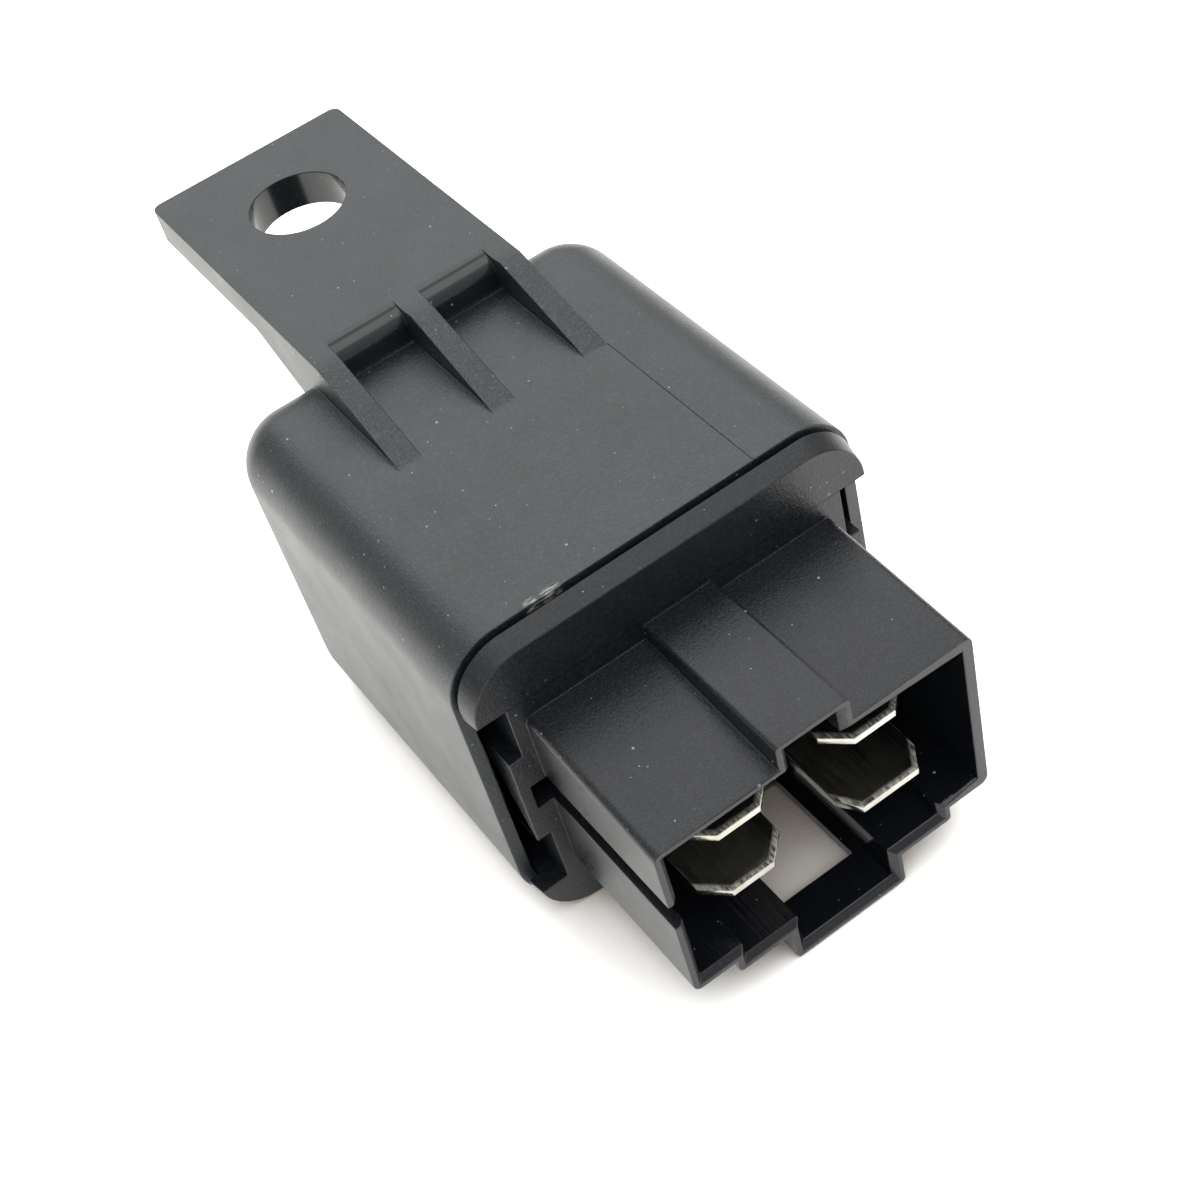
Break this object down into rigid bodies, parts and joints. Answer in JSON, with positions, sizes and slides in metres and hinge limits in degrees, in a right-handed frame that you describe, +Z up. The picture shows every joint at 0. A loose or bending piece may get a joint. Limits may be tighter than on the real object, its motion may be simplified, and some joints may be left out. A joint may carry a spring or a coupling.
{
  "type": "automotive relay",
  "caption": "Plug-in automotive relay: moulded black cover with a ribbed bolt tab, keyed connector socket with flat blade terminals, and a hinged armature switch inside.",
  "frame": {"origin": "middle of the cover's flat underside, on which the relay rests", "axes": "+X across the width, +Y from the socket mouth towards the bolt tab, +Z up from the rest face"},
  "size_m": [0.0296, 0.0656, 0.027],
  "materials": {
    "cover_plastic": "fine spark texture, satin black",
    "base_plastic": "satin black",
    "tin_plate": "tin-plated brass, bright at the coined edges",
    "zinc_plate": "zinc-plated steel",
    "bright_steel": "bright soft iron",
    "rivet_steel": "bright steel",
    "contact_silver": "silver alloy",
    "spring_bronze": "phosphor bronze strip",
    "nylon": "dark glass-filled nylon",
    "enamel_wire": "enamelled copper wire",
    "tape": "yellow polyester tape"
  },
  "bodies": {
    "housing": {"cover": "cover_plastic", "base": "base_plastic", "common_terminal": "tin_plate", "contact_terminal": "tin_plate", "coil_terminal_left": "tin_plate", "coil_terminal_right": "tin_plate", "yoke": "zinc_plate", "core": "bright_steel", "bobbin": "nylon", "winding": "enamel_wire", "winding_tape": "tape", "coil_lead_left": "enamel_wire", "coil_lead_right": "enamel_wire", "fixed_contact": "contact_silver", "return_spring": "spring_bronze", "yoke_rivets": "rivet_steel", "terminal_rivet": "rivet_steel", "back_stop": "zinc_plate"},
    "armature_group": {"armature": "bright_steel", "contact_spring": "spring_bronze", "armature_rivets": "rivet_steel", "moving_contact": "contact_silver"}
  },
  "joints": [
    {"name": "armature_pivot", "type": "hinge", "parent": "housing", "child": "armature_group", "pos_m": [-0.0116, 0.00889, 0.0122], "axis": [0, 0, -1], "range_deg": [0, 2.14], "stiffness_Nm_per_rad": 0.05, "springref_deg": -6.88}
  ]
}
